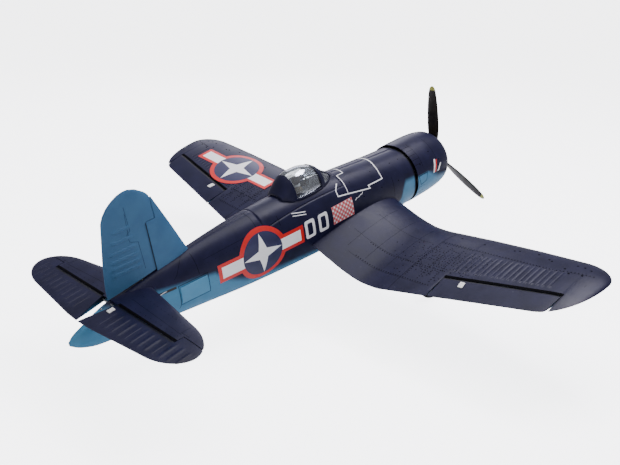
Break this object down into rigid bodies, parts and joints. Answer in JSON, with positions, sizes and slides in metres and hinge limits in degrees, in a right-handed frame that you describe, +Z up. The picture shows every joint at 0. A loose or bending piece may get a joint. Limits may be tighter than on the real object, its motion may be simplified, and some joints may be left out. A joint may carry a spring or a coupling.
{
  "type": "radio-controlled model aeroplane",
  "caption": "Foam radio-controlled carrier fighter with an inverted gull wing, three-blade propeller, moving control surfaces, lift-off cockpit hatch and folding main gear.",
  "frame": {"origin": "middle of the footprint, on the surface that the wheels stand on", "axes": "+X towards the nose along the ground, +Y to the left wing tip, +Z up; the airframe is pitched 10 degrees nose-up on its gear"},
  "size_m": [1.0692, 1.2698, 0.4472],
  "materials": {
    "navy_foam": "satin paint",
    "blue_foam": "satin paint",
    "pale_blue_foam": "satin paint",
    "black_plastic": "matte",
    "grey_plastic": "matte",
    "white_plastic": "satin",
    "yellow_plastic": "gloss",
    "steel": "brushed",
    "aluminium": "satin",
    "rubber": "matte rubber",
    "clear_canopy": "clear",
    "pilot_paint": "matte paint",
    "battery_wrap": "shrink wrap",
    "circuit_wrap": "shrink wrap"
  },
  "bodies": {
    "airframe": {"fuselage_left": "navy_foam", "fuselage_right": "navy_foam", "cowl": "navy_foam", "wing_inner_left": "navy_foam", "wing_inner_right": "navy_foam", "wing_outer_left": "navy_foam", "wing_outer_right": "navy_foam", "stabiliser": "navy_foam", "fin": "blue_foam", "servo_hatch": "pale_blue_foam", "motor_mount": "black_plastic", "aileron_servo_left": "black_plastic", "aileron_servo_right": "black_plastic", "elevator_servo": "black_plastic", "rudder_servo": "black_plastic", "tail_gear_mount": "black_plastic", "dummy_engine": "grey_plastic", "receiver": "grey_plastic", "retract_unit_left": "grey_plastic", "retract_unit_right": "grey_plastic", "motor_stator": "aluminium", "wing_joiner": "aluminium", "battery": "battery_wrap", "speed_controller": "circuit_wrap"},
    "propeller_group": {"motor_can": "grey_plastic", "propeller": "black_plastic", "propeller_nut": "yellow_plastic"},
    "hatch_group": {"canopy_hatch": "navy_foam", "canopy_frame": "navy_foam", "canopy_glass": "clear_canopy", "cockpit_tub": "black_plastic", "pilot": "pilot_paint"},
    "elevator_group": {"elevator_left": "navy_foam", "elevator_right": "navy_foam", "elevator_joiner": "steel", "elevator_horn": "white_plastic"},
    "elevator_arm_body": {"elevator_servo_arm": "white_plastic"},
    "elevator_rod_body": {"elevator_pushrod": "steel"},
    "rudder_group": {"rudder": "blue_foam", "rudder_torque_rod": "steel"},
    "rudder_arm_body": {"rudder_servo_arm": "white_plastic"},
    "rudder_rod_body": {"rudder_pushrod": "steel"},
    "tail_fork_body": {"tail_wheel_fork": "steel"},
    "tail_wheel_body": {"tail_wheel": "rubber"},
    "aileron_left_group": {"aileron_left": "navy_foam", "aileron_horn_left": "white_plastic"},
    "aileron_arm_left_body": {"aileron_servo_arm_left": "white_plastic"},
    "aileron_rod_left_body": {"aileron_pushrod_left": "steel"},
    "gear_fold_left_body": {"gear_pivot_left": "aluminium"},
    "gear_leg_left_body": {"gear_strut_left": "steel"},
    "main_wheel_left_body": {"main_wheel_hub_left": "aluminium", "main_tyre_left": "rubber"},
    "aileron_right_group": {"aileron_right": "navy_foam", "aileron_horn_right": "white_plastic"},
    "aileron_arm_right_body": {"aileron_servo_arm_right": "white_plastic"},
    "aileron_rod_right_body": {"aileron_pushrod_right": "steel"},
    "gear_fold_right_body": {"gear_pivot_right": "aluminium"},
    "gear_leg_right_body": {"gear_strut_right": "steel"},
    "main_wheel_right_body": {"main_wheel_hub_right": "aluminium", "main_tyre_right": "rubber"}
  },
  "joints": [
    {"name": "propeller_spin", "type": "hinge", "parent": "airframe", "child": "propeller_group", "pos_m": [0.51003, 0, 0.27174], "axis": [0.9848, 0, 0.1736], "continuous": true},
    {"name": "hatch_lift", "type": "slide", "parent": "airframe", "child": "hatch_group", "axis": [-0.1736, 0, 0.9848], "range_m": [0, 0.045]},
    {"name": "aileron_left_hinge", "type": "hinge", "parent": "airframe", "child": "aileron_left_group", "pos_m": [0.10237, 0.35, 0.15635], "axis": [0.1425, 0.9772, 0.1577], "range_deg": [-20, 20]},
    {"name": "aileron_arm_left_hinge", "type": "hinge", "parent": "airframe", "child": "aileron_arm_left_body", "pos_m": [0.16441, 0.404, 0.17461], "axis": [0.1425, 0.9772, 0.1577], "range_deg": [-20, 20]},
    {"name": "aileron_rod_left_hinge", "type": "hinge", "parent": "aileron_arm_left_body", "child": "aileron_rod_left_body", "pos_m": [0.16736, 0.404, 0.15787], "axis": [0.1425, 0.9772, 0.1577], "range_deg": [-20, 20]},
    {"name": "aileron_right_hinge", "type": "hinge", "parent": "airframe", "child": "aileron_right_group", "pos_m": [0.10237, -0.35, 0.15635], "axis": [-0.1425, 0.9772, -0.1577], "range_deg": [-20, 20]},
    {"name": "aileron_arm_right_hinge", "type": "hinge", "parent": "airframe", "child": "aileron_arm_right_body", "pos_m": [0.16441, -0.404, 0.17461], "axis": [-0.1425, 0.9772, -0.1577], "range_deg": [-20, 20]},
    {"name": "aileron_rod_right_hinge", "type": "hinge", "parent": "aileron_arm_right_body", "child": "aileron_rod_right_body", "pos_m": [0.16736, -0.404, 0.15787], "axis": [-0.1425, 0.9772, -0.1577], "range_deg": [-20, 20]},
    {"name": "elevator_hinge", "type": "hinge", "parent": "airframe", "child": "elevator_group", "pos_m": [-0.44794, 0, 0.15898], "axis": [0, 1, 0], "range_deg": [-16, 16]},
    {"name": "elevator_arm_hinge", "type": "hinge", "parent": "airframe", "child": "elevator_arm_body", "pos_m": [-0.30022, -0.022, 0.18502], "axis": [0, 1, 0], "range_deg": [-16, 16]},
    {"name": "elevator_rod_hinge", "type": "hinge", "parent": "elevator_arm_body", "child": "elevator_rod_body", "pos_m": [-0.29727, -0.022, 0.16828], "axis": [0, 1, 0], "range_deg": [-16, 16]},
    {"name": "rudder_hinge", "type": "hinge", "parent": "airframe", "child": "rudder_group", "pos_m": [-0.34981, 0, 0.20136], "axis": [-0.1736, 0, 0.9848], "range_deg": [-25, 25]},
    {"name": "rudder_arm_hinge", "type": "hinge", "parent": "airframe", "child": "rudder_arm_body", "pos_m": [-0.21763, 0, 0.16577], "axis": [-0.1736, 0, 0.9848], "range_deg": [-25, 25]},
    {"name": "rudder_rod_hinge", "type": "hinge", "parent": "rudder_arm_body", "child": "rudder_rod_body", "pos_m": [-0.21763, 0.016, 0.16577], "axis": [-0.1736, 0, 0.9848], "range_deg": [-25, 25]},
    {"name": "tail_steer_hinge", "type": "hinge", "parent": "airframe", "child": "tail_fork_body", "pos_m": [-0.32156, 0, 0.06418], "axis": [-0.1736, 0, 0.9848], "range_deg": [-25, 25]},
    {"name": "tail_wheel_spin", "type": "hinge", "parent": "tail_fork_body", "child": "tail_wheel_body", "pos_m": [-0.33319, 0, 0.01492], "axis": [0, 1, 0], "continuous": true},
    {"name": "gear_fold_left_hinge", "type": "hinge", "parent": "airframe", "child": "gear_fold_left_body", "pos_m": [0.26092, 0.187, 0.15267], "axis": [0, 1, 0], "range_deg": [0, 98.3]},
    {"name": "gear_twist_left_hinge", "type": "hinge", "parent": "gear_fold_left_body", "child": "gear_leg_left_body", "pos_m": [0.26092, 0.187, 0.15267], "axis": [0.2399, 0, -0.9708], "range_deg": [0, 90]},
    {"name": "main_wheel_left_spin", "type": "hinge", "parent": "gear_leg_left_body", "child": "main_wheel_left_body", "pos_m": [0.28929, 0.187, 0.03785], "axis": [0, 1, 0], "continuous": true},
    {"name": "gear_fold_right_hinge", "type": "hinge", "parent": "airframe", "child": "gear_fold_right_body", "pos_m": [0.26092, -0.187, 0.15267], "axis": [0, 1, 0], "range_deg": [0, 98.3]},
    {"name": "gear_twist_right_hinge", "type": "hinge", "parent": "gear_fold_right_body", "child": "gear_leg_right_body", "pos_m": [0.26092, -0.187, 0.15267], "axis": [-0.2399, 0, 0.9708], "range_deg": [0, 90]},
    {"name": "main_wheel_right_spin", "type": "hinge", "parent": "gear_leg_right_body", "child": "main_wheel_right_body", "pos_m": [0.28929, -0.187, 0.03785], "axis": [0, 1, 0], "continuous": true}
  ],
  "couplings": [
    {"joint": "aileron_arm_left_hinge", "follows": "aileron_left_hinge", "ratio": 1},
    {"joint": "aileron_rod_left_hinge", "follows": "aileron_left_hinge", "ratio": -1},
    {"joint": "aileron_right_hinge", "follows": "aileron_left_hinge", "ratio": -1},
    {"joint": "aileron_arm_right_hinge", "follows": "aileron_left_hinge", "ratio": -1},
    {"joint": "aileron_rod_right_hinge", "follows": "aileron_left_hinge", "ratio": 1},
    {"joint": "elevator_arm_hinge", "follows": "elevator_hinge", "ratio": 1},
    {"joint": "elevator_rod_hinge", "follows": "elevator_hinge", "ratio": -1},
    {"joint": "rudder_arm_hinge", "follows": "rudder_hinge", "ratio": 1},
    {"joint": "rudder_rod_hinge", "follows": "rudder_hinge", "ratio": -1},
    {"joint": "tail_steer_hinge", "follows": "rudder_hinge", "ratio": 1},
    {"joint": "gear_fold_right_hinge", "follows": "gear_fold_left_hinge", "ratio": 1},
    {"joint": "gear_twist_left_hinge", "follows": "gear_fold_left_hinge", "ratio": 0.91555},
    {"joint": "gear_twist_right_hinge", "follows": "gear_fold_left_hinge", "ratio": 0.91555}
  ]
}
